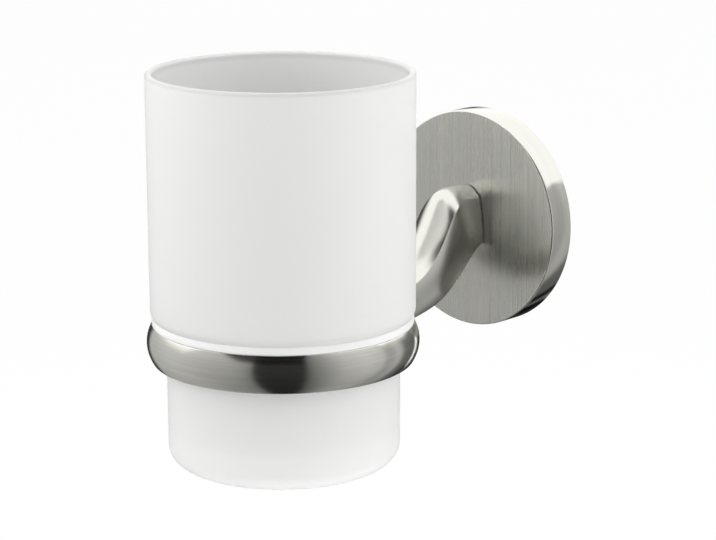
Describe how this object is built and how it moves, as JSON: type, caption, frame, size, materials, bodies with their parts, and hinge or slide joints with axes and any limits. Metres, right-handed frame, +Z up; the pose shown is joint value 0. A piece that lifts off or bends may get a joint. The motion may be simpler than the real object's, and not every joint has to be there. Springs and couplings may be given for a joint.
{
  "type": "tumbler holder",
  "caption": "Wall-mounted holder: a round rosette and a swept arm carry a ring in which a stepped frosted glass tumbler sits.",
  "frame": {"origin": "centre of the wall bracket's flat back face, which lies on the wall", "axes": "+Z up, +Y into the wall and -Y into the room along the holder's projection, +X to the right seen from the room"},
  "size_m": [0.07, 0.115, 0.1015],
  "materials": {
    "frosted_glass": "satin etched outside, smooth inside",
    "clear_plastic": "smooth, translucent",
    "ring_nickel": "nickel plated, brushed round the ring",
    "arm_nickel": "nickel plated, softly brushed along the arm",
    "rosette_nickel": "nickel plated, brushed upright on the face and round the rim",
    "bracket_steel": "zinc plated sheet",
    "screw_steel": "zinc plated, machined"
  },
  "bodies": {
    "holder": {"wall_bracket": "bracket_steel", "grub_screw": "screw_steel", "rosette": "rosette_nickel", "arm_screw_upper": "screw_steel", "arm_screw_lower": "screw_steel", "lock_washer_upper": "screw_steel", "lock_washer_lower": "screw_steel", "arm": "arm_nickel", "ring_screw": "screw_steel", "holder_ring": "ring_nickel"},
    "seat": {"seat_ring": "clear_plastic"},
    "glass": {"tumbler": "frosted_glass"}
  },
  "joints": [
    {"name": "tumbler_turn", "type": "hinge", "parent": "holder", "child": "seat", "pos_m": [0, -0.08, -0.0197], "axis": [0, 0, 1], "continuous": true},
    {"name": "tumbler_lift", "type": "slide", "parent": "seat", "child": "glass", "axis": [0, 0, 1], "range_m": [0, 0.06]}
  ]
}
